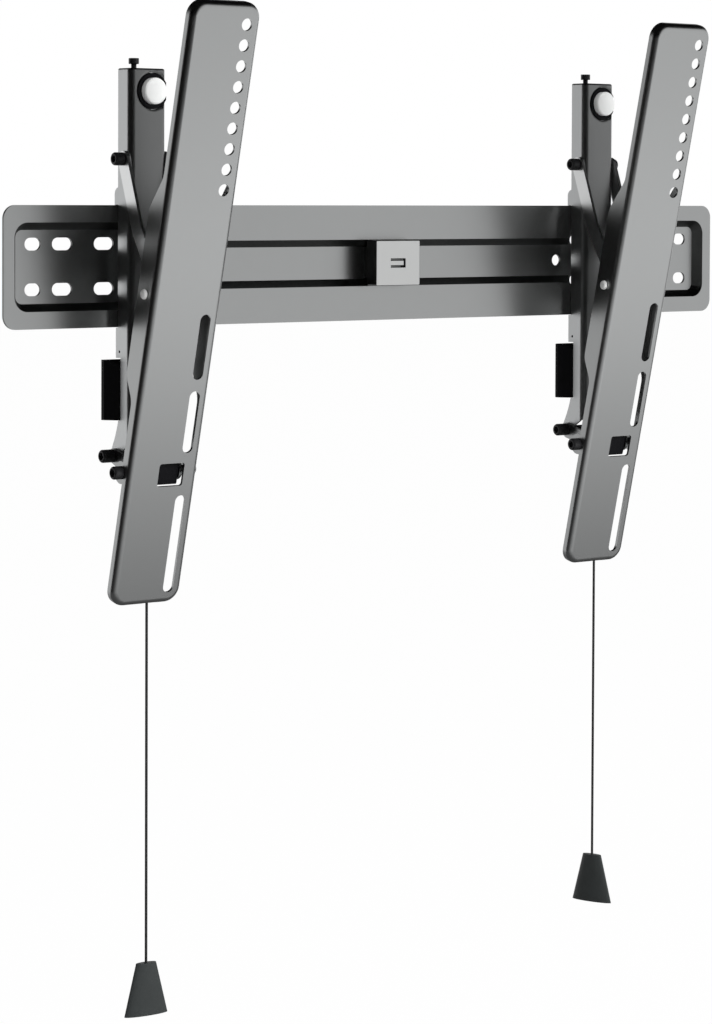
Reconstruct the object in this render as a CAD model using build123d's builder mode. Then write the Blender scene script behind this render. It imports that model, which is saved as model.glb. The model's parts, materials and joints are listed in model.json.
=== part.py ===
from build123d import *
from math import atan2, cos, degrees, hypot, radians, sin, tan
import os

# Tilting wall bracket for a flat screen: a pressed wall plate, two uprights
# that hang on it, and two drilled strips that tilt on a pair of linkages.
# Millimetres. X runs right along the plate, Y into the wall, Z up. The origin
# is the middle of the wall plate's back, on the wall. "Stand" is a distance
# from the wall.

# Wall plate
plate_width = 700.0
plate_height = 89.0
plate_sheet = 2.0
plate_corner = 10.0
rim_stand = 9.7
rim_end_width = 9.0
pocket_length = 151.0
pocket_height = 64.0
pocket_corner = 11.0
groove_height = 36.0
press_slope = 35.0
wall_slot_width = 9.2
wall_slot_rows = 32.8
end_slot_length = 13.6
end_slot_inset = 29.0
slot_length = 17.3
slot_insets = (54.0, 90.0, 144.5)
groove_hole_inset = 168.0
groove_hole_diameter = 9.0

# Level holder, snapped into the middle of the plate's groove
holder_width = 43.5
holder_height = 35.0
holder_stand = 22.0
holder_corner = 1.2
holder_base_width = 36.0
tongue_length = 14.0
tongue_width = 6.5
tongue_gap = 1.2
tongue_depth = 3.0

# Where the two assemblies hang along the plate
left_place = -237.0
right_place = 207.0

# Upright, a folded channel
upright_width = 32.0
upright_sheet = 2.0
upright_stand = 26.0
upright_top = 144.0
upright_bend = 4.5
upright_crown = 1.5
hang_gap = 0.4
hook_rise = 12.5
hook_drop = 7.5
hook_depth = 1.6
hook_round = 5.0
tail_stand = 7.5
tail_length = 22.0
foot_seat_stand = 13.6
foot_seat_length = 46.0
waist_stand = 10.6
waist_bow = 0.8
lower_eye = 7.6
lower_eye_turn = 40.0
lower_shoulder = 3.6
dimple_offset = -3.4
dimple_height = 55.2
dimple_diameter = 8.0
dimple_depth = 0.5
dimple_slope = 60.0
pin_hole_stand = 12.2
pin_hole_height = -62.3
pin_hole_diameter = 2.0

# Linkage pivots, as (stand, height) with the screen side tipped forward
arm_pivot_stand = 20.0
arm_pivot_height = 78.0
arm_length = 107.0
arm_swing = 25.4
tilt = 13.3
strip_pivot_span = 133.2
link_pivot_stand = 8.0
link_pivot_height = -138.5

# Bolts, nuts and rivets of the linkage
bolt_diameter = 6.0
rivet_diameter = 5.0
rivet_head = 7.4
rivet_head_height = 2.6
rivet_dome = 2.2
running_gap = 0.05
side_gap = 0.3
nut_diameter = 9.6
nut_length = 7.5
long_nut_length = 10.0
nut_round = 1.6
nut_floor = 1.0
nut_socket = 5.0
nut_socket_depth = 2.5
bolt_head_height = 4.0
open_pivot_gap = 1.75

# Tilt arm and lower link, flat steel
arm_sheet = 2.5
arm_eye = 6.0
arm_knee = 0.5
arm_knee_back = 5.4
web_start = 0.78
web_end = 0.95
link_upper_eye = 5.4
link_eye = 7.4

# Strip, a pressed tray with a lobed side wall
strip_width = 60.0
strip_length = 447.3
strip_sheet = 2.0
strip_corner = 12.0
strip_bend = 4.5
strip_top_above_pivot = 214.4
strip_rim = 8.0
pivot_depth = 11.0
lobe_depth = 20.5
lobe_top = (86.0, 60.0)
lobe_bottom = (-63.0, -79.0)
lobe_round = 14.0
neck_depth = 10.0
strip_eye = 8.3
hole_diameter = 9.0
hole_pitch = 15.0
hole_count = 9
hole_from_top = 15.6
hole_from_edge = 12.0
upper_slot = (211.9, 260.8)
middle_slot = (269.5, 316.2)
lower_slot = (348.5, 423.2)
window_width = 22.0
window_height = 17.4
window_corner = 2.0
window_from_hole_line = 11.5
window_from_first_hole = 332.3
cord_notch = 12.0

# Spacer clipped on the strip's cross rod
spacer_height = 17.7
spacer_drop = 0.7
spacer_front = 5.0
spacer_back = 13.0
spacer_corner = 1.5

# Buffer plug near the top of each upright
buffer_offset = 4.2
buffer_height = 127.6
buffer_diameter = 19.4
buffer_proud = 4.0
buffer_depth = 8.0
buffer_dome = 1.5
seat_diameter = 27.0
seat_floor = 2.0
seat_gap = 0.2
seat_drop = 0.4
seat_bevel = 2.0
seat_bevel_depth = 1.2

# Height screw in the upright's top lip
screw_offset = -5.7
screw_stand = 15.0
screw_diameter = 4.0
screw_length = 18.0
screw_head = 7.6
screw_head_height = 4.3
screw_lift = 3.2
screw_socket = 3.0
screw_socket_depth = 2.2

# Lock: a sprung catch inside the upright, worked by the pull cord
catch_gap = 0.3
catch_drop = 5.5
catch_height = 10.0
catch_rise = 5.0
catch_finger_width = 6.0
catch_finger_spacing = 17.0
catch_finger_height = 6.0
foot_width = 48.2
foot_front_width = 32.6
foot_stand = 0.5
foot_bevel_stand = 4.0
foot_slope_run = 7.0
foot_slope_drop = 4.2
foot_margin = 1.5
foot_tongue_drop = 11.5
cord_offset = 4.8
cord_stand = 17.4
cord_diameter = 2.0
cord_hole = 4.0
spring_diameter = 6.6
spring_wire = 0.9
spring_turns = 5
spring_seat_gap = 0.15

# Pull tags
left_tag_top = -513.0
right_tag_top = -490.0
tag_height = 38.5
tag_top_width = 16.6
tag_bottom_width = 36.0
tag_top_thickness = 6.0
tag_bottom_thickness = 9.0
left_tag_turn = -5.0
right_tag_turn = -72.0

# Worked out from the values above
rim_back = rim_stand - plate_sheet
edge = plate_height / 2
pocket_middle = plate_width / 2 - rim_end_width - pocket_length / 2
half_upright = upright_width / 2
half_channel = half_upright - upright_sheet
inner_bend = upright_bend - upright_sheet
half_strip = strip_width / 2
arm_inside = half_upright + hang_gap
arm_outside = arm_inside + arm_sheet
flange_inside = half_strip - strip_sheet
rear_stand = rim_stand + hang_gap
hook_stand = rim_back - hang_gap
hook_back = hook_stand - hook_depth
hook_top = edge + hang_gap + hook_rise
foot_seat_top = -edge - hang_gap - tail_length
foot_seat_bottom = foot_seat_top - foot_seat_length
foot_top = foot_seat_top - foot_margin
foot_bottom = foot_seat_bottom + hang_gap
foot_front = foot_seat_stand - catch_gap
foot_tongue_top = foot_top - foot_tongue_drop
catch_top = -edge - catch_drop
catch_bottom = catch_top - catch_height
arm_pivot = (arm_pivot_stand, arm_pivot_height)
arm_reach = (arm_length * sin(radians(arm_swing)), -arm_length * cos(radians(arm_swing)))
strip_pivot = (arm_pivot[0] + arm_reach[0], arm_pivot[1] + arm_reach[1])
strip_lower = (
    strip_pivot[0] - strip_pivot_span * sin(radians(tilt)),
    strip_pivot[1] - strip_pivot_span * cos(radians(tilt)),
)
link_pivot = (link_pivot_stand, link_pivot_height)
bolt_radius = bolt_diameter / 2
first_hole = strip_top_above_pivot - hole_from_top
hole_line = half_strip - hole_from_edge
face_stand = strip_pivot[0] + pivot_depth * cos(radians(tilt))
face_height = strip_pivot[1] - pivot_depth * sin(radians(tilt))


def save(piece, name):
    """Label a finished piece and write it to its own file."""
    piece.part.label = name
    export_step(piece.part, f"parts/{name}.step")


def into_wall(stand):
    """Plane at a stand from the wall, facing it. Local y points down."""
    return Plane(origin=(0, -stand, 0), x_dir=(1, 0, 0), z_dir=(0, 1, 0))


def side_plane(x):
    """Upright plane across the wall at x, with local (stand, height)."""
    return Plane(origin=(x, 0, 0), x_dir=(0, -1, 0), z_dir=(-1, 0, 0))


def strip_plane(place):
    """Front plane of a strip, with its origin in front of the arm's rivets."""
    return Plane(
        origin=(place, -face_stand, face_height),
        x_dir=(1, 0, 0),
        z_dir=(0, -cos(radians(tilt)), -sin(radians(tilt))),
    )


def strip_side_plane(place):
    """Plane across a strip, with local (height along it, distance in front)."""
    return Plane(
        origin=(place, -face_stand, face_height),
        x_dir=(0, -sin(radians(tilt)), cos(radians(tilt))),
        z_dir=(1, 0, 0),
    )


def recess_outline(grow):
    """Two pockets joined by a groove, as one outline in the current sketch."""
    Rectangle(2 * pocket_middle, groove_height + 2 * grow)
    with Locations((-pocket_middle, 0), (pocket_middle, 0)):
        RectangleRounded(
            pocket_length + 2 * grow,
            pocket_height + 2 * grow,
            pocket_corner + grow,
        )


def make_wall_plate():
    press_depth = rim_stand - plate_sheet
    wall_growth = plate_sheet / cos(radians(press_slope)) - plate_sheet * tan(radians(press_slope))
    with BuildPart() as wall_plate:
        with BuildSketch(into_wall(rim_stand)):
            RectangleRounded(plate_width, plate_height, plate_corner)
        extrude(amount=plate_sheet)
        with BuildSketch(into_wall(rim_back)):
            recess_outline(wall_growth)
        extrude(amount=rim_back, taper=press_slope)
        with BuildSketch(into_wall(rim_stand)):
            recess_outline(0)
        extrude(amount=press_depth, taper=press_slope, mode=Mode.SUBTRACT)
        with BuildSketch(into_wall(plate_sheet)):
            end_place = plate_width / 2 - end_slot_inset
            with GridLocations(2 * end_place, wall_slot_rows, 2, 2):
                SlotOverall(end_slot_length, wall_slot_width)
            for inset in slot_insets:
                with GridLocations(plate_width - 2 * inset, wall_slot_rows, 2, 2):
                    SlotOverall(slot_length, wall_slot_width)
            with GridLocations(plate_width - 2 * groove_hole_inset, wall_slot_rows, 2, 1):
                Circle(groove_hole_diameter / 2)
        extrude(amount=plate_sheet, mode=Mode.SUBTRACT)
    save(wall_plate, "wall_plate")


def make_level_holder():
    base_height = groove_height - 2 * press_slope_run() - 2 * side_gap
    with BuildPart() as level_holder:
        with BuildSketch(into_wall(holder_stand)):
            RectangleRounded(holder_width, holder_height, holder_corner)
        extrude(amount=holder_stand - rim_stand)
        with BuildSketch(into_wall(rim_stand)):
            Rectangle(holder_base_width, base_height)
        extrude(amount=rim_stand - plate_sheet)
        with BuildSketch(into_wall(holder_stand)):
            Rectangle(tongue_length, tongue_width)
            with Locations((-tongue_gap, 0)):
                Rectangle(tongue_length, tongue_width - 2 * tongue_gap, mode=Mode.SUBTRACT)
        extrude(amount=tongue_depth, mode=Mode.SUBTRACT)
    save(level_holder, "level_holder")


def middle_of(start, finish):
    return ((start[0] + finish[0]) / 2, (start[1] + finish[1]) / 2)


def press_slope_run():
    """How far a sloped wall of the recess runs from the rim to the floor."""
    return (rim_stand - plate_sheet) * tan(radians(press_slope))


def upright_outline():
    """Side view of the upright's folded walls, in the current sketch."""
    eye_meet = (
        link_pivot[0] - lower_eye * cos(radians(lower_eye_turn)),
        link_pivot[1] + lower_eye * sin(radians(lower_eye_turn)),
    )
    waist_middle = middle_of((waist_stand, foot_seat_bottom), eye_meet)
    with BuildLine() as walls:
        Polyline(
            eye_meet,
            link_pivot,
            (link_pivot[0] + lower_eye, link_pivot[1] + lower_shoulder),
            (upright_stand, link_pivot[1] + upright_stand - link_pivot[0] - lower_eye),
            (upright_stand, upright_top),
            (rear_stand, upright_top),
            (rear_stand, hook_top),
        )
        RadiusArc(
            (rear_stand, hook_top),
            (hook_back, hook_top - hook_round),
            -hook_round,
        )
        Polyline(
            (hook_back, hook_top - hook_round),
            (hook_back, edge - hook_drop),
            (hook_stand, edge - hook_drop),
            (hook_stand, edge + hang_gap),
            (rear_stand, edge + hang_gap),
            (rear_stand, -edge - hang_gap),
            (tail_stand, -edge - hang_gap),
            (tail_stand, foot_seat_top),
            (foot_seat_stand, foot_seat_top),
            (foot_seat_stand, foot_seat_bottom),
            (waist_stand, foot_seat_bottom),
        )
        ThreePointArc(
            (waist_stand, foot_seat_bottom),
            (waist_middle[0] + waist_bow, waist_middle[1]),
            eye_meet,
        )
    make_face(walls.edges())
    with Locations(link_pivot):
        Circle(lower_eye)


def make_upright(side, place):
    with BuildPart() as upright:
        with BuildSketch(side_plane(place)):
            upright_outline()
        extrude(amount=half_upright, both=True)
        front = upright.edges().filter_by(Axis.Z).group_by(Axis.Y)[0]
        fillet(front, radius=upright_bend)
        crown = upright.edges().group_by(Axis.Z)[-1].sort_by(Axis.Y)[:-1]
        fillet(crown, radius=upright_crown)
        channel_depth = upright_stand - upright_sheet
        channel_bottom = link_pivot[1] - lower_eye
        with BuildSketch(Plane.XY.offset(channel_bottom)) as channel:
            with Locations((place, -channel_depth / 2)):
                Rectangle(2 * half_channel, channel_depth)
            fillet(channel.vertices().group_by(Axis.Y)[0], radius=inner_bend)
        extrude(amount=upright_top - upright_sheet - channel_bottom, mode=Mode.SUBTRACT)
        with BuildSketch(side_plane(place)):
            with Locations(arm_pivot, link_pivot):
                Circle(bolt_radius + running_gap)
        extrude(amount=half_upright, both=True, mode=Mode.SUBTRACT)
        with BuildSketch(into_wall(upright_stand)):
            with Locations((place + buffer_offset, -buffer_height)):
                Circle(seat_diameter / 2)
        extrude(amount=buffer_depth, mode=Mode.SUBTRACT)
        with BuildSketch(into_wall(upright_stand)):
            with Locations((place + buffer_offset, -buffer_height)):
                Circle(seat_diameter / 2 + seat_bevel)
        bevel_slope = degrees(atan2(seat_bevel, seat_bevel_depth))
        extrude(amount=seat_bevel_depth, taper=bevel_slope, mode=Mode.SUBTRACT)
        with BuildSketch(into_wall(upright_stand)):
            with Locations((place + dimple_offset, -dimple_height)):
                Circle(dimple_diameter / 2)
        extrude(amount=dimple_depth, taper=dimple_slope, mode=Mode.SUBTRACT)
        with BuildSketch(side_plane(place)):
            with Locations((pin_hole_stand, pin_hole_height)):
                Circle(pin_hole_diameter / 2)
        extrude(amount=half_upright, both=True, mode=Mode.SUBTRACT)
        with BuildSketch(Plane.XY.offset(upright_top)):
            with Locations((place + screw_offset, -screw_stand)):
                Circle(screw_diameter / 2 + running_gap)
        extrude(amount=-upright_sheet, mode=Mode.SUBTRACT)
    save(upright, f"{side}_upright")


def make_buffer(side, place):
    middle = (place + buffer_offset, -buffer_height)
    seat_radius = seat_diameter / 2 - seat_gap
    with BuildPart() as buffer_seat:
        with BuildSketch(into_wall(upright_stand - seat_drop)):
            with Locations(middle):
                Circle(seat_radius)
            with Locations((place + half_upright + seat_radius, -buffer_height)):
                Rectangle(2 * seat_radius, 2 * seat_radius, mode=Mode.SUBTRACT)
        extrude(amount=buffer_depth - seat_drop)
        with BuildSketch(into_wall(upright_stand - seat_drop)):
            with Locations(middle):
                Circle(buffer_diameter / 2 + seat_gap)
        extrude(amount=buffer_depth - seat_drop - seat_floor, mode=Mode.SUBTRACT)
    save(buffer_seat, f"{side}_buffer_seat")
    with BuildPart() as buffer:
        with BuildSketch(into_wall(upright_stand + buffer_proud)):
            with Locations(middle):
                Circle(buffer_diameter / 2)
        extrude(amount=buffer_depth + buffer_proud - seat_floor)
        rim = buffer.edges().group_by(Axis.Y)[0]
        fillet(rim, radius=buffer_dome)
    save(buffer, f"{side}_buffer")


def make_height_screw(side, place):
    under_head = upright_top + screw_lift
    with BuildPart() as height_screw:
        with BuildSketch(Plane.XY.offset(under_head - screw_length)):
            with Locations((place + screw_offset, -screw_stand)):
                Circle(screw_diameter / 2)
        extrude(amount=screw_length)
        with BuildSketch(Plane.XY.offset(under_head)):
            with Locations((place + screw_offset, -screw_stand)):
                Circle(screw_head / 2)
        extrude(amount=screw_head_height)
        with BuildSketch(Plane.XY.offset(under_head + screw_head_height)):
            with Locations((place + screw_offset, -screw_stand)):
                RegularPolygon(screw_socket / 2, 6, major_radius=False)
        extrude(amount=-screw_socket_depth, mode=Mode.SUBTRACT)
    save(height_screw, f"{side}_height_screw")


def bar(start, finish, eye):
    """Flat bar with round ends between two points, in the current sketch."""
    run = (finish[0] - start[0], finish[1] - start[1])
    with Locations(middle_of(start, finish)):
        SlotCenterToCenter(hypot(run[0], run[1]), 2 * eye, rotation=degrees(atan2(run[1], run[0])))


def make_tilt_arm(side, place):
    along = (arm_reach[0] / arm_length, arm_reach[1] / arm_length)
    knee = (
        arm_pivot[0] + arm_knee * arm_reach[0] + arm_knee_back * along[1],
        arm_pivot[1] + arm_knee * arm_reach[1] - arm_knee_back * along[0],
    )
    lower = (strip_pivot[0] - knee[0], strip_pivot[1] - knee[1])
    lower_length = hypot(lower[0], lower[1])
    web_share = (web_start + web_end) / 2
    web_offset = (arm_eye - arm_sheet / 2) / lower_length
    web_place = (
        knee[0] + web_share * lower[0] - web_offset * lower[1],
        knee[1] + web_share * lower[1] + web_offset * lower[0],
    )
    with BuildPart() as tilt_arm:
        with BuildSketch(side_plane(place)) as leg:
            bar(arm_pivot, knee, arm_eye)
            bar(knee, strip_pivot, arm_eye)
        extrude(amount=arm_outside, both=True)
        extrude(leg.sketch, amount=arm_inside, both=True, mode=Mode.SUBTRACT)
        with BuildSketch(side_plane(place)):
            with Locations(web_place):
                Rectangle(
                    lower_length * (web_end - web_start),
                    arm_sheet,
                    rotation=degrees(atan2(lower[1], lower[0])),
                )
        extrude(amount=arm_inside, both=True)
        with BuildSketch(side_plane(place)):
            with Locations(arm_pivot):
                Circle(bolt_radius + running_gap)
            with Locations(strip_pivot):
                Circle(bolt_radius)
        extrude(amount=arm_outside, both=True, mode=Mode.SUBTRACT)
    save(tilt_arm, f"{side}_tilt_arm")


def make_arm_rivets(side, place):
    """Stepped rivets that carry the strip on the arm, one on each side."""
    with BuildPart() as arm_rivets:
        for turn in (-1, 1):
            with BuildSketch(side_plane(place + turn * arm_inside)):
                with Locations(strip_pivot):
                    Circle(bolt_radius)
            extrude(amount=-turn * arm_sheet)
            with BuildSketch(side_plane(place + turn * arm_outside)):
                with Locations(strip_pivot):
                    Circle(arm_eye - 2 * side_gap)
            extrude(amount=-turn * (flange_inside - side_gap - arm_outside))
            with BuildSketch(side_plane(place + turn * (flange_inside - side_gap))):
                with Locations(strip_pivot):
                    Circle(rivet_diameter / 2)
            extrude(amount=-turn * (strip_sheet + 2 * side_gap))
            with BuildSketch(side_plane(place + turn * (half_strip + side_gap))):
                with Locations(strip_pivot):
                    Circle(rivet_head / 2)
            extrude(amount=-turn * rivet_head_height)
        ends = arm_rivets.edges().group_by(Axis.X)
        fillet(ends[0] + ends[-1], radius=rivet_dome)
    save(arm_rivets, f"{side}_arm_rivets")


def make_through_bolt(name, nut_name, place, pivot, grip, cap_length):
    """Bolt across the linkage with its head on the right and a cap nut on the left."""
    head_seat = place + grip
    nut_seat = place - grip
    thread_depth = cap_length - nut_socket_depth - nut_floor
    with BuildPart() as bolt:
        with BuildSketch(side_plane(head_seat)):
            with Locations(pivot):
                Circle(bolt_radius)
        extrude(amount=2 * grip + thread_depth)
        with BuildSketch(side_plane(head_seat)):
            with Locations(pivot):
                Circle(nut_diameter / 2)
        extrude(amount=-bolt_head_height)
        head_rim = bolt.edges().group_by(Axis.X)[-1]
        fillet(head_rim, radius=bolt_head_height / 2)
    save(bolt, name)
    with BuildPart() as nut:
        with BuildSketch(side_plane(nut_seat)):
            with Locations(pivot):
                Circle(nut_diameter / 2)
        extrude(amount=cap_length)
        fillet(nut.edges().group_by(Axis.X)[0], radius=nut_round)
        with BuildSketch(side_plane(nut_seat)):
            with Locations(pivot):
                Circle(bolt_radius)
        extrude(amount=thread_depth, mode=Mode.SUBTRACT)
        with BuildSketch(side_plane(nut_seat - cap_length)):
            with Locations(pivot):
                RegularPolygon(nut_socket / 2, 6, major_radius=False)
        extrude(amount=-nut_socket_depth, mode=Mode.SUBTRACT)
    save(nut, nut_name)


def make_lower_links(side, place):
    with BuildPart() as lower_links:
        with BuildSketch(side_plane(place)) as plate:
            with Locations(link_pivot):
                Circle(link_upper_eye)
            with Locations(strip_lower):
                Circle(link_eye)
            make_hull()
            with Locations(link_pivot):
                Circle(bolt_radius + running_gap, mode=Mode.SUBTRACT)
            with Locations(strip_lower):
                Circle(bolt_radius + open_pivot_gap, mode=Mode.SUBTRACT)
        extrude(amount=arm_outside, both=True)
        extrude(plate.sketch, amount=arm_inside, both=True, mode=Mode.SUBTRACT)
    save(lower_links, f"{side}_lower_links")


def make_strip(side, place):
    middle = strip_top_above_pivot - strip_length / 2
    bottom = strip_top_above_pivot - strip_length
    tray = max(lobe_depth, pivot_depth + strip_eye) + strip_sheet
    with BuildPart() as strip:
        with BuildSketch(strip_plane(place)):
            with Locations((0, middle)):
                RectangleRounded(strip_width, strip_length, strip_corner)
        extrude(amount=-tray)
        outward = Axis((0, 0, 0), strip_plane(place).z_dir)
        front = strip.faces().sort_by(outward)[-1]
        fillet(front.edges(), radius=strip_bend)
        offset(amount=-strip_sheet, openings=strip.faces().sort_by(outward)[0])
        with BuildSketch(strip_side_plane(place)):
            with BuildLine():
                FilletPolyline(
                    (strip_top_above_pivot, -strip_rim),
                    (lobe_top[0], -strip_rim),
                    (lobe_top[1], -lobe_depth),
                    (lobe_bottom[0], -lobe_depth),
                    (lobe_bottom[1], -neck_depth),
                    (-strip_pivot_span, -neck_depth),
                    radius=lobe_round,
                )
                Polyline(
                    (-strip_pivot_span, -neck_depth),
                    (-strip_pivot_span, -strip_rim),
                    (bottom, -strip_rim),
                    (bottom, -tray),
                    (strip_top_above_pivot, -tray),
                    (strip_top_above_pivot, -strip_rim),
                )
            make_face()
            with Locations((-strip_pivot_span, -pivot_depth)):
                Circle(strip_eye, mode=Mode.SUBTRACT)
        extrude(amount=half_strip, both=True, mode=Mode.SUBTRACT)
        with BuildSketch(strip_side_plane(place)):
            with Locations((0, -pivot_depth)):
                Circle(rivet_diameter / 2 + running_gap)
            with Locations((-strip_pivot_span, -pivot_depth)):
                Circle(bolt_radius)
        extrude(amount=half_strip, both=True, mode=Mode.SUBTRACT)
        with BuildSketch(strip_plane(place)):
            with Locations((hole_line, first_hole - hole_pitch * (hole_count - 1) / 2)):
                with GridLocations(hole_pitch, hole_pitch, 1, hole_count):
                    Circle(hole_diameter / 2)
            for start, finish in (upper_slot, middle_slot, lower_slot):
                with Locations((hole_line, first_hole - (start + finish) / 2)):
                    SlotOverall(finish - start, hole_diameter, rotation=90)
            with Locations((hole_line - window_from_hole_line, first_hole - window_from_first_hole)):
                RectangleRounded(window_width, window_height, window_corner)
        extrude(amount=-strip_sheet, mode=Mode.SUBTRACT)
        with BuildSketch(strip_plane(place).offset(-strip_sheet)):
            with Locations((cord_offset, bottom)):
                Rectangle(cord_notch, 2 * strip_bend)
        extrude(amount=-tray, mode=Mode.SUBTRACT)
    save(strip, f"{side}_strip")


def make_rod_spacer(side, place):
    """Block with an open-backed bore that clips on the strip's cross rod."""
    spacer_middle = (-strip_pivot_span - spacer_drop, -(spacer_front + spacer_back) / 2)
    with BuildPart() as rod_spacer:
        with BuildSketch(strip_side_plane(place)):
            with Locations(spacer_middle):
                RectangleRounded(spacer_height, spacer_back - spacer_front, spacer_corner)
            with Locations((-strip_pivot_span, -pivot_depth)):
                Circle(bolt_radius + running_gap, mode=Mode.SUBTRACT)
        extrude(amount=arm_inside - side_gap, both=True)
    save(rod_spacer, f"{side}_rod_spacer")


def make_wall_foot(side, place):
    cord_place = (place + cord_offset, -cord_stand)
    tongue_front = upright_stand - upright_sheet - catch_gap
    with BuildPart() as wall_foot:
        with BuildSketch(Plane.XY.offset(foot_bottom)):
            with BuildLine():
                Polyline(
                    (place - foot_width / 2, -foot_stand),
                    (place - foot_width / 2, -foot_bevel_stand),
                    (place - foot_front_width / 2, -foot_front),
                    (place + foot_front_width / 2, -foot_front),
                    (place + foot_width / 2, -foot_bevel_stand),
                    (place + foot_width / 2, -foot_stand),
                    close=True,
                )
            make_face()
        extrude(amount=foot_top - foot_bottom)
        with BuildSketch(side_plane(place)):
            with BuildLine():
                Polyline(
                    (foot_front - foot_slope_run, foot_top),
                    (foot_front, foot_top),
                    (foot_front, foot_top - foot_slope_drop),
                    close=True,
                )
            make_face()
        extrude(amount=foot_width / 2, both=True, mode=Mode.SUBTRACT)
        with BuildSketch(into_wall(tongue_front)):
            with Locations((place, -(foot_tongue_top + foot_bottom) / 2)):
                Rectangle(2 * (half_channel - catch_gap), foot_tongue_top - foot_bottom)
        extrude(amount=tongue_front - foot_front)
        fillet(wall_foot.edges().filter_by(Axis.Z).group_by(Axis.Y)[0], radius=inner_bend)
        with BuildSketch(Plane.XY.offset(foot_bottom)):
            with Locations(cord_place):
                Circle(cord_hole / 2)
        extrude(amount=foot_tongue_top - foot_bottom, mode=Mode.SUBTRACT)
    save(wall_foot, f"{side}_wall_foot")


def make_lock_catch(side, place):
    body_front = upright_stand - upright_sheet - catch_gap
    with BuildPart() as lock_catch:
        with BuildSketch(side_plane(place)):
            with BuildLine():
                Polyline(
                    (body_front, catch_bottom),
                    (body_front, catch_top),
                    (rear_stand, catch_top),
                    (rear_stand, catch_bottom),
                    close=True,
                )
            make_face()
        extrude(amount=half_channel - catch_gap, both=True)
        fillet(lock_catch.edges().filter_by(Axis.Z).group_by(Axis.Y)[0], radius=inner_bend)
        for turn in (-1, 1):
            with BuildSketch(side_plane(place + turn * catch_finger_spacing / 2)):
                with BuildLine():
                    Polyline(
                        (rear_stand, catch_top),
                        (hook_stand, catch_top),
                        (hook_stand, -edge + catch_rise),
                        (hook_back, -edge + catch_rise),
                        (hook_back, catch_top - catch_finger_height),
                        (rear_stand, catch_top - catch_finger_height),
                        close=True,
                    )
                make_face()
            extrude(amount=catch_finger_width / 2, both=True)
    save(lock_catch, f"{side}_lock_catch")


def make_lock_spring(side, place):
    height = catch_bottom - foot_tongue_top
    radius = (spring_diameter - spring_wire) / 2
    lift = height - spring_wire - 2 * spring_seat_gap
    start = (place + cord_offset, -cord_stand, foot_tongue_top + spring_seat_gap + spring_wire / 2)
    with BuildPart() as lock_spring:
        with BuildLine() as coil:
            Helix(pitch=lift / spring_turns, height=lift, radius=radius, center=start)
        with BuildSketch(Plane(coil.line @ 0, z_dir=coil.line % 0)):
            Rectangle(spring_wire, spring_wire)
        sweep(path=coil.line, is_frenet=True)
    save(lock_spring, f"{side}_lock_spring")


def make_cord(side, place, tag_top):
    with BuildPart() as pull_cord:
        with BuildSketch(Plane.XY.offset(tag_top)):
            with Locations((place + cord_offset, -cord_stand)):
                Circle(cord_diameter / 2)
        extrude(amount=catch_bottom - tag_top)
    save(pull_cord, f"{side}_pull_cord")


def make_pull_tag(side, place, tag_top, turn):
    top = Plane(
        origin=(place + cord_offset, -cord_stand, tag_top),
        x_dir=(cos(radians(turn)), sin(radians(turn)), 0),
    )
    with BuildPart() as pull_tag:
        with BuildSketch(top):
            Ellipse(tag_top_width / 2, tag_top_thickness / 2)
        with BuildSketch(top.offset(-tag_height)):
            Ellipse(tag_bottom_width / 2, tag_bottom_thickness / 2)
        loft(ruled=True)
    save(pull_tag, f"{side}_pull_tag")


os.makedirs("parts", exist_ok=True)
make_wall_plate()
make_level_holder()
sides = (
    ("left", left_place, left_tag_top, left_tag_turn),
    ("right", right_place, right_tag_top, right_tag_turn),
)
for side, place, tag_top, tag_turn in sides:
    make_upright(side, place)
    make_buffer(side, place)
    make_height_screw(side, place)
    make_tilt_arm(side, place)
    make_arm_rivets(side, place)
    arm_grip = arm_outside + side_gap
    make_through_bolt(f"{side}_arm_bolt", f"{side}_arm_nut", place, arm_pivot, arm_grip, nut_length)
    make_lower_links(side, place)
    make_through_bolt(f"{side}_link_bolt", f"{side}_link_nut", place, link_pivot, arm_grip, long_nut_length)
    make_strip(side, place)
    make_through_bolt(f"{side}_strip_rod", f"{side}_strip_nut", place, strip_lower, half_strip, nut_length)
    make_rod_spacer(side, place)
    make_wall_foot(side, place)
    make_lock_catch(side, place)
    make_lock_spring(side, place)
    make_cord(side, place, tag_top)
    make_pull_tag(side, place, tag_top, tag_turn)
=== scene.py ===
"""Looks of a tilting wall bracket for a flat screen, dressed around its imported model."""

import json
import math

import bmesh
import bpy
from mathutils import Matrix, Vector


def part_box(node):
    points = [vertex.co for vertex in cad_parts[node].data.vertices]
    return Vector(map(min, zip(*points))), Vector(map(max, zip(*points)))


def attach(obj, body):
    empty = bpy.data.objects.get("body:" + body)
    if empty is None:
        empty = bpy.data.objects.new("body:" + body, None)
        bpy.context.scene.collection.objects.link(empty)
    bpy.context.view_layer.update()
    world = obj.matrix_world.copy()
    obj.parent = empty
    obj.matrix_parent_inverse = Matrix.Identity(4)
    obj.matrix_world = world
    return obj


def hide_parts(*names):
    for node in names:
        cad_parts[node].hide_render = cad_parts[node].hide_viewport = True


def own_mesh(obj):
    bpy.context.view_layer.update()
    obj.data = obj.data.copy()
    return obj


bl_info = {
    "name": "Tilting wall bracket",
    "version": (1, 0, 0),
    "blender": (4, 5, 0),
    "location": "View3D > Sidebar > Bracket",
    "description": "Dresses a tilting wall bracket and sets up its studio",
    "category": "Object",
}

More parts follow.
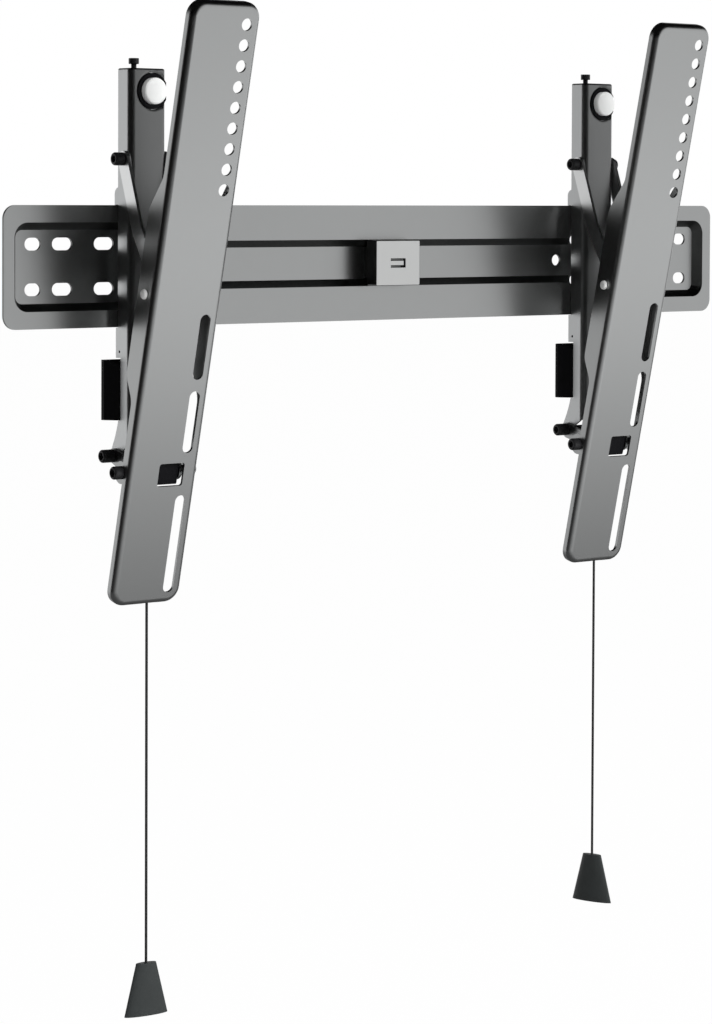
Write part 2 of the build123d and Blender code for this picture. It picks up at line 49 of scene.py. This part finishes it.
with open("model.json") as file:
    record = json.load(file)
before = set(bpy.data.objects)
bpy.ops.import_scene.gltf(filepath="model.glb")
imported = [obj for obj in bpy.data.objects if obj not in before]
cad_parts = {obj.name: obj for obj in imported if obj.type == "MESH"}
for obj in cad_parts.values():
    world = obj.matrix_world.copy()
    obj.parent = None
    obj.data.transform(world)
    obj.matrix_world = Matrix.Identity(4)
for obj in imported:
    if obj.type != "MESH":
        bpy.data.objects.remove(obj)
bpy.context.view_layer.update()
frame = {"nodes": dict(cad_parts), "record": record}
SIDES = ("left", "right")

# The cords' routes, in metres, from the catch down to the tag.
CORD_ROUTES = {
    "left": ((-0.2322, -0.0174, -0.060), (-0.2322, -0.0174, -0.286), (-0.2322, -0.0174, -0.513)),
    "right": ((0.2118, -0.0174, -0.060), (0.2118, -0.0174, -0.275), (0.2118, -0.0174, -0.490)),
}

# How bright the floor looks in the steel, by its distance in front of the wall as a share of the span.
FLOOR_SPAN = 3.0
FLOOR_GLOW = (
    (0.10, 0.10),
    (0.22, 0.26),
    (0.33, 0.53),
    (0.41, 1.0),
    (0.49, 1.0),
    (0.60, 0.65),
    (0.75, 0.62),
)

# How bright the room looks in the steel: its front, and what its back adds to that.
ROOM_FRONT = 0.67
ROOM_BACK = 0.19

# Share of the floor's look that is plain white. The rest shows light and shadow.
FLOOR_WHITE = 0.985


class BracketFinish(bpy.types.PropertyGroup):
    """Colours and gloss of the bracket's materials."""

    coat: bpy.props.FloatVectorProperty(
        name="Coat",
        description="Metallic satin lacquer on the folded steel",
        subtype="COLOR",
        default=(0.56, 0.571, 0.571),
    )
    coat_roughness: bpy.props.FloatProperty(
        name="Coat roughness",
        description="How matt the lacquer is",
        subtype="FACTOR",
        default=0.30,
    )
    # The uprights' lacquer: this colour shows on their flanges, and a painted shade darkens their front
    # faces.
    upright: bpy.props.FloatVectorProperty(
        name="Upright",
        description="Lacquer of the uprights, which is darker on their faces",
        subtype="COLOR",
        default=(0.66, 0.672, 0.675),
    )
    arm: bpy.props.FloatVectorProperty(
        name="Arm",
        description="Pale plating of the tilt arms",
        subtype="COLOR",
        default=(0.87, 0.88, 0.88),
    )
    black_steel: bpy.props.FloatVectorProperty(
        name="Black steel",
        description="Blackened bolts, nuts and rods",
        subtype="COLOR",
        default=(0.018, 0.018, 0.019),
    )
    zinc: bpy.props.FloatVectorProperty(
        name="Zinc",
        description="Bright plating on rivets and springs",
        subtype="COLOR",
        default=(0.84, 0.84, 0.83),
    )
    moulding: bpy.props.FloatVectorProperty(
        name="Moulding",
        description="Black plastic of the feet, catches, seats and spacers",
        subtype="COLOR",
        default=(0.005, 0.005, 0.006),
    )
    holder: bpy.props.FloatVectorProperty(
        name="Level holder",
        description="Silver lacquer of the level holder",
        subtype="COLOR",
        default=(0.88, 0.89, 0.885),
    )
    tag: bpy.props.FloatVectorProperty(
        name="Pull tag",
        description="Dark plastic of the pull tags",
        subtype="COLOR",
        default=(0.03, 0.034, 0.034),
    )
    buffer: bpy.props.FloatVectorProperty(
        name="Buffer",
        description="Milky soft plastic of the buffers",
        subtype="COLOR",
        default=(0.97, 0.98, 0.97),
    )
    cord: bpy.props.FloatVectorProperty(
        name="Cord",
        description="Braid of the pull cords",
        subtype="COLOR",
        default=(0.02, 0.02, 0.02),
    )


class BracketEdges(bpy.types.PropertyGroup):
    """How far edges are eased on the different kinds of pieces."""

    sheet: bpy.props.FloatProperty(
        name="Sheet edge",
        description="Rounding of cut sheet steel",
        subtype="DISTANCE",
        unit="LENGTH",
        default=0.0006,
    )
    pressed: bpy.props.FloatProperty(
        name="Pressed edge",
        description="Rounding of the plate's pressed folds",
        subtype="DISTANCE",
        unit="LENGTH",
        default=0.0011,
    )
    moulded: bpy.props.FloatProperty(
        name="Moulded edge",
        description="Rounding of moulded pieces",
        subtype="DISTANCE",
        unit="LENGTH",
        default=0.0007,
    )
    turned: bpy.props.FloatProperty(
        name="Turned edge",
        description="Chamfer of bolts and nuts",
        subtype="DISTANCE",
        unit="LENGTH",
        default=0.0005,
    )


class BracketStudio(bpy.types.PropertyGroup):
    """Camera, floor and light."""

    camera_place: bpy.props.FloatVectorProperty(
        name="Camera place",
        description="Where the camera stands",
        subtype="TRANSLATION",
        unit="LENGTH",
        default=(-1.5098, -1.8913, 0.0527),
    )
    camera_yaw: bpy.props.FloatProperty(
        name="Camera yaw",
        description="Turn of the view to the right of the wall's normal",
        subtype="ANGLE",
        unit="ROTATION",
        default=math.radians(38.157),
    )
    camera_pitch: bpy.props.FloatProperty(
        name="Camera pitch",
        description="Dip of the view below level",
        subtype="ANGLE",
        unit="ROTATION",
        default=math.radians(1.847),
    )
    camera_roll: bpy.props.FloatProperty(
        name="Camera roll",
        description="Turn of the image about the view",
        subtype="ANGLE",
        unit="ROTATION",
        default=math.radians(0.225),
    )
    focal_length: bpy.props.FloatProperty(
        name="Focal length",
        description="Lens for a frame 36 mm high",
        unit="CAMERA",
        default=108.83,
    )
    image_shift: bpy.props.FloatVectorProperty(
        name="Image shift",
        description="Shift of the frame, as a share of its height",
        size=2,
        default=(-0.00053, -0.2123),
    )
    floor_height: bpy.props.FloatProperty(
        name="Floor height",
        description="Height of the floor below the plate's middle",
        subtype="DISTANCE",
        unit="LENGTH",
        default=-0.70,
    )
    ambient: bpy.props.FloatProperty(
        name="Ambient",
        description="Strength of the even light from all round",
        default=0.25,
    )
    dark_side: bpy.props.FloatVectorProperty(
        name="Dark side",
        description="Direction of the studio's unlit side, which the bends of the steel mirror",
        subtype="DIRECTION",
        default=(-0.866, -0.5, 0.0),
    )


class Tone:
    """A shader socket that takes part in plain arithmetic."""

    def __init__(self, tree, socket=None):
        self.tree = tree
        self.socket = socket

    def node(self, kind, settings, sockets, output=0):
        """Add a node with its settings and its sockets' values or links."""
        made = self.tree.nodes.new(kind)
        for name, value in settings.items():
            if name == "stops":
                for index, (place, shade) in enumerate(value):
                    stops = made.color_ramp.elements
                    stop = stops[index] if index < len(stops) else stops.new(place)
                    stop.position = place
                    stop.color = (shade, shade, shade, 1.0)
            else:
                setattr(made, name, value)
        for name, value in sockets.items():
            if isinstance(value, Tone):
                self.tree.links.new(value.socket, made.inputs[name])
            else:
                made.inputs[name].default_value = value
        return Tone(self.tree, made.outputs[output])

    def math(self, operation, first, second):
        return self.node("ShaderNodeMath", {"operation": operation}, {0: first, 1: second})

    def __add__(self, other):
        return self.math("ADD", self, other)

    __radd__ = __add__

    def __sub__(self, other):
        return self.math("SUBTRACT", self, other)

    def __rsub__(self, other):
        return self.math("SUBTRACT", other, self)

    def __mul__(self, other):
        return self.math("MULTIPLY", self, other)

    __rmul__ = __mul__


class Finish:
    """A material under construction: its tree, its shader and its coordinates."""

    def __init__(self, name):
        self.material = bpy.data.materials.new(name)
        self.material.use_nodes = True
        self.tree = self.material.node_tree
        self.tree.nodes.clear()
        self.shader = self.tree.nodes.new("ShaderNodeBsdfPrincipled")
        output = self.tree.nodes.new("ShaderNodeOutputMaterial")
        self.tree.links.new(self.shader.outputs[0], output.inputs[0])
        self.start = Tone(self.tree)
        self.place = self.start.node("ShaderNodeTexCoord", {}, {}, "Object")

    def noise(self, scale, detail=3.0):
        """Cloudy pattern from 0 to 1, with features about 1/scale metres across."""
        return self.start.node(
            "ShaderNodeTexNoise",
            {},
            {"Vector": self.place, "Scale": scale, "Detail": detail},
        )

    def turned(self, axis, begin, full):
        """Mask of the faces that are turned along an axis, 0 to 1; the faces outside it get painted shade.
        """
        normal = self.start.node("ShaderNodeTexCoord", {}, {}, "Normal")
        share = self.start.node("ShaderNodeSeparateXYZ", {}, {"Vector": normal}, axis)
        size = self.start.node("ShaderNodeMath", {"operation": "ABSOLUTE"}, {0: share})
        return self.start.node(
            "ShaderNodeMapRange",
            {},
            {"Value": size, "From Min": begin, "From Max": full},
        )

    def stretched(self, factors):
        """Coordinates stretched along the axes."""
        return self.start.node(
            "ShaderNodeVectorMath",
            {"operation": "MULTIPLY"},
            {0: self.place, 1: factors},
        )

    def blend(self, share, first, second):
        """Colour between two colours."""
        return self.start.node(
            "ShaderNodeMix",
            {"data_type": "RGBA"},
            {0: share, 6: (*first, 1.0), 7: (*second, 1.0)},
            2,
        )

    def set(self, **values):
        """Set or link sockets of the shader, named with underscores for spaces."""
        for name, value in values.items():
            socket = self.shader.inputs[name.replace("_", " ")]
            if isinstance(value, Tone):
                self.tree.links.new(value.socket, socket)
            else:
                socket.default_value = value

    def bump(self, height, strength, distance):
        """Small relief on the surface."""
        return self.start.node(
            "ShaderNodeBump",
            {},
            {"Strength": strength, "Distance": distance, "Height": height},
        )


def tinted(colour, factor):
    return tuple(min(1.0, part * factor) for part in colour)


def satin_lacquer(name, colour, roughness, axis="Y", painted_shade=1.0):
    """Metallic satin lacquer: faint mottling, a fine orange-peel relief and a painted shade,
    a darker colour on the faces that are turned away from an axis."""
    finish = Finish(name)
    mottle = finish.noise(60.0)
    peel = finish.noise(900.0, 2.0)
    # Where share is 0 the colour is the painted shade; a little random mottling is mixed in.
    share = 0.96 * finish.turned(axis, 0.6, 0.9) + 0.04 * mottle
    finish.set(
        Base_Color=finish.blend(share, tinted(colour, painted_shade), colour),
        Roughness=roughness - 0.01 + 0.02 * finish.noise(240.0),
        Metallic=1.0,
        Normal=finish.bump(peel, 0.03, 0.0001),
    )
    return finish.material


def moulded_plastic(name, colour, roughness, sheen):
    """Moulded plastic with a fine spark-eroded grain."""
    finish = Finish(name)
    grain = finish.noise(2200.0, 2.0)
    finish.set(
        Base_Color=finish.blend(finish.noise(90.0), tinted(colour, 0.9), tinted(colour, 1.1)),
        Roughness=roughness - 0.05 + 0.10 * grain,
        Specular_IOR_Level=sheen,
        Normal=finish.bump(grain, 0.15, 0.0002),
    )
    return finish.material


def blackened_steel(name, colour):
    """Black oxide on bolts, a little uneven."""
    finish = Finish(name)
    patches = finish.noise(400.0)
    finish.set(
        Base_Color=finish.blend(patches, tinted(colour, 0.7), tinted(colour, 1.5)),
        Roughness=0.28 + 0.14 * patches,
        Metallic=0.35,
    )
    return finish.material


def bright_zinc(name, colour):
    """Bright plating with faint turning marks."""
    finish = Finish(name)
    marks = finish.start.node(
        "ShaderNodeTexNoise",
        {},
        {"Vector": finish.stretched((3000.0, 400.0, 400.0)), "Scale": 1.0, "Detail": 2.0},
    )
    finish.set(
        Base_Color=finish.blend(marks, tinted(colour, 0.9), tinted(colour, 1.08)),
        Roughness=0.34 + 0.12 * marks,
        Metallic=0.4,
        Normal=finish.bump(marks, 0.05, 0.0002),
    )
    return finish.material


def milky_plastic(name, colour):
    """Milky soft plastic, a little cloudy."""
    finish = Finish(name)
    cloud = finish.noise(150.0)
    finish.set(
        Base_Color=finish.blend(cloud, tinted(colour, 0.97), tinted(colour, 1.0)),
        Roughness=0.30 + 0.08 * cloud,
    )
    return finish.material


def braid(name, colour):
    """Braided cord: bands of strands with a small relief."""
    finish = Finish(name)
    strands = finish.start.node(
        "ShaderNodeTexWave",
        {"wave_type": "BANDS", "bands_direction": "Z"},
        {"Vector": finish.place, "Scale": 300.0, "Distortion": 1.5, "Detail": 1.0},
    )
    finish.set(
        Base_Color=finish.blend(strands, tinted(colour, 0.5), tinted(colour, 1.6)),
        Roughness=0.75 + 0.1 * strands,
        Normal=finish.bump(strands, 0.4, 0.0003),
    )
    return finish.material


def material(name):
    """A finish by name, made once."""
    found = bpy.data.materials.get(name)
    if found:
        return found
    look = bpy.context.scene.bracket_finish
    makers = {
        # The plate's lacquer: painted shade on its recess walls and edges, at 0.3 of the colour.
        "plate_lacquer": lambda: satin_lacquer(name, look.coat, look.coat_roughness, painted_shade=0.3),
        # The strips' and links' lacquer: painted shade, at 0.75 of the colour, on every face not turned to
        # the front or back.
        "strip_lacquer": lambda: satin_lacquer(name, look.coat, look.coat_roughness, painted_shade=0.75),
        # The uprights' lacquer: painted shade on their front faces, at 0.43 of the colour.
        "upright_lacquer_painted_shade": lambda: satin_lacquer(name, look.upright, 0.38, axis="X", painted_shade=0.43),
        "plating": lambda: satin_lacquer(name, look.arm, look.coat_roughness),
        "moulding": lambda: moulded_plastic(name, look.moulding, roughness=0.55, sheen=0.12),
        # The holder's lacquer: painted shade on its sides, top and bottom, at 0.35 of the colour.
        "silver": lambda: satin_lacquer(name, look.holder, look.coat_roughness, painted_shade=0.35),
        "tag_plastic": lambda: moulded_plastic(name, look.tag, roughness=0.4, sheen=0.5),
        "blackened": lambda: blackened_steel(name, look.black_steel),
        "bright": lambda: bright_zinc(name, look.zinc),
        "milky": lambda: milky_plastic(name, look.buffer),
        "braid": lambda: braid(name, look.cord),
    }
    return makers[name]()


def body_of(node):
    """The body that a node of the model rides on."""
    bodies = frame["record"]["behaviour"]["bodies"]
    return next(body for body, members in bodies.items() if node in members)


def joint_of(name):
    """A joint of the record by name."""
    return next(joint for joint in frame["record"]["behaviour"]["joints"] if joint["name"] == name)


def formed(node, finish, edge, sharp=math.radians(32.0)):
    """A copy of a node's shape with its sharp edges eased, standing for the node."""
    shape = bmesh.new()
    shape.from_mesh(frame["nodes"][node].data)
    bmesh.ops.remove_doubles(shape, verts=shape.verts, dist=1e-6)
    bmesh.ops.dissolve_limit(
        shape,
        angle_limit=math.radians(0.4),
        verts=shape.verts,
        edges=shape.edges,
    )
    corners = [
        line
        for line in shape.edges
        if line.is_manifold and line.calc_face_angle(0.0) > sharp
    ]
    bmesh.ops.bevel(
        shape,
        geom=corners,
        offset=edge,
        segments=2,
        profile=0.5,
        affect="EDGES",
        clamp_overlap=True,
    )
    for face in shape.faces:
        face.smooth = True
    mesh = bpy.data.meshes.new(f"{node}_formed")
    shape.to_mesh(mesh)
    shape.free()
    mesh.materials.append(material(finish))
    piece = bpy.data.objects.new(f"{node}_formed", mesh)
    bpy.context.scene.collection.objects.link(piece)
    even = piece.modifiers.new("Even shading", "WEIGHTED_NORMAL")
    even.keep_sharp = True
    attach(piece, body_of(node))
    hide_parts(node)
    return piece


class BRACKET_OT_plate(bpy.types.Operator):
    """Dress the pressed wall plate"""

    bl_idname = "bracket.plate"
    bl_label = "Wall plate"

    def execute(self, context):
        # The plate's lacquer carries a painted shade on its recess walls.
        formed("wall_plate", "plate_lacquer", context.scene.bracket_edges.pressed)
        return {"FINISHED"}


class BRACKET_OT_holder(bpy.types.Operator):
    """Dress the level holder"""

    bl_idname = "bracket.holder"
    bl_label = "Level holder"

    def execute(self, context):
        # The holder's lacquer carries a painted shade on its sides.
        formed("level_holder", "silver", context.scene.bracket_edges.moulded)
        return {"FINISHED"}


class BRACKET_OT_folded(bpy.types.Operator):
    """Dress the uprights, strips, arms and links of folded steel"""

    bl_idname = "bracket.folded"
    bl_label = "Folded steel"

    def execute(self, context):
        for side in SIDES:
            # The uprights get a lacquer with painted shade on their front faces.
            formed(f"{side}_upright", "upright_lacquer_painted_shade", context.scene.bracket_edges.sheet)
            # Strips and links get a lacquer with painted shade on faces not turned to the front or back.
            for kind in ("strip", "lower_links"):
                formed(f"{side}_{kind}", "strip_lacquer", context.scene.bracket_edges.sheet)
            formed(f"{side}_tilt_arm", "plating", context.scene.bracket_edges.sheet)
        return {"FINISHED"}


class BRACKET_OT_fasteners(bpy.types.Operator):
    """Dress the bolts, nuts, rods, rivets and screws"""

    bl_idname = "bracket.fasteners"
    bl_label = "Fasteners"

    def execute(self, context):
        edge = context.scene.bracket_edges.turned
        dark = ("arm_bolt", "arm_nut", "link_bolt", "link_nut", "strip_rod", "strip_nut", "height_screw")
        for side in SIDES:
            for kind in dark:
                formed(f"{side}_{kind}", "blackened", edge)
            formed(f"{side}_arm_rivets", "bright", edge)
        return {"FINISHED"}


class BRACKET_OT_mouldings(bpy.types.Operator):
    """Dress the wall feet, catches, springs, rod spacers, buffer seats and buffers"""

    bl_idname = "bracket.mouldings"
    bl_label = "Mouldings"

    def execute(self, context):
        edge = context.scene.bracket_edges.moulded
        for side in SIDES:
            for kind in ("wall_foot", "lock_catch", "buffer_seat", "rod_spacer"):
                formed(f"{side}_{kind}", "moulding", edge)
            formed(f"{side}_buffer", "milky", edge)
            self.spring(side)
        return {"FINISHED"}

    def spring(self, side):
        """The catch's spring, which shortens as the catch is pulled; here it only gets a mesh of its own,
        and the share of its length that it keeps is worked out but not applied.
        """
        node = f"{side}_lock_spring"
        coil = formed(node, "bright", 0.0, math.pi)
        low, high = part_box(node)
        pull = joint_of(f"{side}_lock_pull")
        keep = 1.0 - pull["range_m"][1] / (high[2] - low[2])
        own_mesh(coil)


class BRACKET_OT_cords(bpy.types.Operator):
    """Hang the pull cords and their tags"""

    bl_idname = "bracket.cords"
    bl_label = "Pull cords"

    diameter: bpy.props.FloatProperty(
        name="Diameter",
        description="Thickness of the cord",
        subtype="DISTANCE",
        unit="LENGTH",
        default=0.002,
    )

    def execute(self, context):
        for side in SIDES:
            tag = formed(f"{side}_pull_tag", "tag_plastic", context.scene.bracket_edges.moulded)
            self.hang(side, CORD_ROUTES[side], tag)
        return {"FINISHED"}

    def hang(self, side, route, tag):
        """One cord along its route from the catch down towards its tag; the tag argument is not used."""
        curve = bpy.data.curves.new(f"{side}_cord_braid", "CURVE")
        curve.dimensions = "3D"
        curve.bevel_depth = self.diameter / 2
        curve.bevel_resolution = 4
        curve.use_fill_caps = True
        spline = curve.splines.new("NURBS")
        spline.points.add(len(route) - 1)
        for point, place in zip(spline.points, route):
            point.co = (*place, 1.0)
        spline.order_u = 3
        spline.use_endpoint_u = True
        curve.materials.append(material("braid"))
        cord = bpy.data.objects.new(f"{side}_cord_braid", curve)
        bpy.context.scene.collection.objects.link(cord)
        node = f"{side}_pull_cord"
        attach(cord, body_of(node))
        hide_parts(node)


class BRACKET_OT_stage(bpy.types.Operator):
    """Set up the floor, the light and the camera"""

    bl_idname = "bracket.stage"
    bl_label = "Studio"

    def execute(self, context):
        studio = context.scene.bracket_studio
        context.scene.view_settings.view_transform = "Standard"
        self.world(context.scene, studio)
        self.floor(studio)
        self.lamps()
        self.camera(context.scene, studio)
        return {"FINISHED"}

    def world(self, scene, studio):
        """White surroundings, with an unlit side and ceiling that only show in the steel."""
        world = bpy.data.worlds.new("studio")
        world.use_nodes = True
        scene.world = world
        tree = world.node_tree
        start = Tone(tree)
        path = tree.nodes.new("ShaderNodeLightPath")
        seen = Tone(tree, path.outputs["Is Camera Ray"])
        mirrored = Tone(tree, path.outputs["Is Glossy Ray"])
        through = Tone(tree, path.outputs["Is Transmission Ray"])
        facing = start.node("ShaderNodeTexCoord", {}, {}, "Generated")
        ceiling = self.towards(start, facing, (0.0, 0.0, 1.0), 0.1, 0.45)
        room = ROOM_FRONT + ROOM_BACK * self.towards(start, facing, (0.0, 1.0, 0.0), -0.2, 0.2)
        lit = self.lit_side(start, facing, studio) * (1.0 - ceiling) * room
        shown = start.math("MINIMUM", seen + through, 1.0)
        strength = shown + (1.0 - shown) * (mirrored * lit + (1.0 - mirrored) * studio.ambient)
        background = tree.nodes["Background"]
        background.inputs["Color"].default_value = (1.0, 1.0, 1.0, 1.0)
        tree.links.new(strength.socket, background.inputs["Strength"])

    def lit_side(self, start, facing, studio):
        """Mask of the directions away from the studio's unlit side."""
        return 1.0 - self.towards(start, facing, studio.dark_side, 0.09, 0.54)

    def towards(self, start, facing, direction, begin, full):
        """Soft mask, 0 to 1, of the directions that lean towards a given one."""
        lean = start.node(
            "ShaderNodeVectorMath",
            {"operation": "DOT_PRODUCT"},
            {0: facing, 1: direction},
            "Value",
        )
        return start.node(
            "ShaderNodeMapRange",
            {"interpolation_type": "SMOOTHSTEP"},
            {"Value": lean, "From Min": begin, "From Max": full},
        )

    def floor(self, studio):
        """Wide pale floor below the hanging tags, which the steel mirrors in bands of its own."""
        shape = bmesh.new()
        bmesh.ops.create_circle(shape, cap_ends=True, segments=64, radius=30.0)
        mesh = bpy.data.meshes.new("floor")
        shape.to_mesh(mesh)
        shape.free()
        floor = bpy.data.objects.new("floor", mesh)
        floor.location.z = studio.floor_height
        bpy.context.scene.collection.objects.link(floor)
        paper = bpy.data.materials.new("paper")
        paper.use_nodes = True
        tree = paper.node_tree
        shader = tree.nodes["Principled BSDF"]
        shader.inputs["Roughness"].default_value = 0.9
        shader.inputs["Base Color"].default_value = (0.9, 0.9, 0.9, 1.0)
        start = Tone(tree)
        path = tree.nodes.new("ShaderNodeLightPath")
        seen = Tone(tree, path.outputs["Is Camera Ray"])
        mirrored = Tone(tree, path.outputs["Is Glossy Ray"])
        through = Tone(tree, path.outputs["Is Transmission Ray"])
        place = start.node("ShaderNodeTexCoord", {}, {}, "Object")
        depth = start.node("ShaderNodeSeparateXYZ", {}, {"Vector": place}, "Y")
        front = start.node("ShaderNodeValToRGB", {"stops": FLOOR_GLOW}, {0: depth * (-1.0 / FLOOR_SPAN)})
        back = start.node("ShaderNodeMapRange", {}, {"Value": depth, "From Min": 0.5, "From Max": 1.6})
        fade = start.math("MAXIMUM", front, back)
        facing = start.node("ShaderNodeVectorMath", {"operation": "NORMALIZE"}, {0: place})
        shown = start.math("MINIMUM", seen + mirrored + through, 1.0) * FLOOR_WHITE
        away = start.node("ShaderNodeVectorMath", {"operation": "LENGTH"}, {0: place}, "Value")
        far = start.node("ShaderNodeMapRange", {}, {"Value": away, "From Min": 1.25, "From Max": 1.75})
        unlit = far * (1.0 - self.lit_side(start, facing, studio))
        strength = 1.0 - mirrored * (1.0 - fade * (1.0 - unlit))
        glow = start.node("ShaderNodeEmission", {}, {"Strength": strength})
        mixed = start.node(
            "ShaderNodeMixShader",
            {},
            {0: shown, 1: Tone(tree, shader.outputs[0]), 2: glow},
        )
        tree.links.new(mixed.socket, tree.nodes["Material Output"].inputs["Surface"])
        mesh.materials.append(paper)

    def lamp(self, name, place, aim, size, power):
        """A softbox pointed at a spot."""
        light = bpy.data.lights.new(name, "AREA")
        light.shape = "RECTANGLE"
        light.size, light.size_y = size
        light.energy = power
        lamp = bpy.data.objects.new(name, light)
        lamp.location = place
        lamp.rotation_euler = (Vector(aim) - Vector(place)).to_track_quat("-Z", "Y").to_euler()
        lamp.visible_glossy = False
        bpy.context.scene.collection.objects.link(lamp)

    def lamps(self):
        """The softboxes in front of the bracket and above it."""
        self.lamp("front_softbox", (0.6, -3.0, 0.9), (0.0, 0.0, 0.0), (2.4, 2.0), 140.0)
        self.lamp("top_softbox", (0.0, -0.6, 2.4), (0.0, 0.0, 0.0), (2.0, 1.2), 15.0)

    def camera(self, scene, studio):
        """Camera at the photograph's viewing angle, with its frame shifted down."""
        lens = bpy.data.cameras.new("camera")
        lens.sensor_fit = "VERTICAL"
        lens.sensor_height = 36.0
        lens.lens = studio.focal_length
        lens.shift_x, lens.shift_y = studio.image_shift
        camera = bpy.data.objects.new("camera", lens)
        yaw, pitch, roll = studio.camera_yaw, studio.camera_pitch, studio.camera_roll
        ahead = Vector((math.sin(yaw) * math.cos(pitch), math.cos(yaw) * math.cos(pitch), -math.sin(pitch)))
        level = Vector((math.cos(yaw), -math.sin(yaw), 0.0))
        plumb = level.cross(ahead)
        right = math.cos(roll) * level + math.sin(roll) * plumb
        top = math.cos(roll) * plumb - math.sin(roll) * level
        turn = Matrix((right, top, -ahead)).transposed().to_4x4()
        camera.matrix_world = Matrix.Translation(studio.camera_place) @ turn
        scene.collection.objects.link(camera)
        scene.camera = camera


OPERATORS = (
    BRACKET_OT_plate,
    BRACKET_OT_holder,
    BRACKET_OT_folded,
    BRACKET_OT_fasteners,
    BRACKET_OT_mouldings,
    BRACKET_OT_cords,
    BRACKET_OT_stage,
)


class BRACKET_PT_panel(bpy.types.Panel):
    """Pieces and studio of the bracket"""

    bl_idname = "BRACKET_PT_panel"
    bl_label = "Bracket"
    bl_space_type = "VIEW_3D"
    bl_region_type = "UI"
    bl_category = "Bracket"

    def draw(self, context):
        for operator in OPERATORS:
            self.layout.operator(operator.bl_idname)


GROUPS = (
    ("bracket_finish", BracketFinish),
    ("bracket_edges", BracketEdges),
    ("bracket_studio", BracketStudio),
)


def register():
    for name, group in GROUPS:
        bpy.utils.register_class(group)
        setattr(bpy.types.Scene, name, bpy.props.PointerProperty(type=group))
    for operator in OPERATORS:
        bpy.utils.register_class(operator)
    bpy.utils.register_class(BRACKET_PT_panel)


def unregister():
    bpy.utils.unregister_class(BRACKET_PT_panel)
    for operator in reversed(OPERATORS):
        bpy.utils.unregister_class(operator)
    for name, group in reversed(GROUPS):
        delattr(bpy.types.Scene, name)
        bpy.utils.unregister_class(group)


def main():
    register()
    bpy.ops.bracket.plate()
    bpy.ops.bracket.holder()
    bpy.ops.bracket.folded()
    bpy.ops.bracket.fasteners()
    bpy.ops.bracket.mouldings()
    bpy.ops.bracket.cords()
    bpy.ops.bracket.stage()


if __name__ == "__main__":
    main()
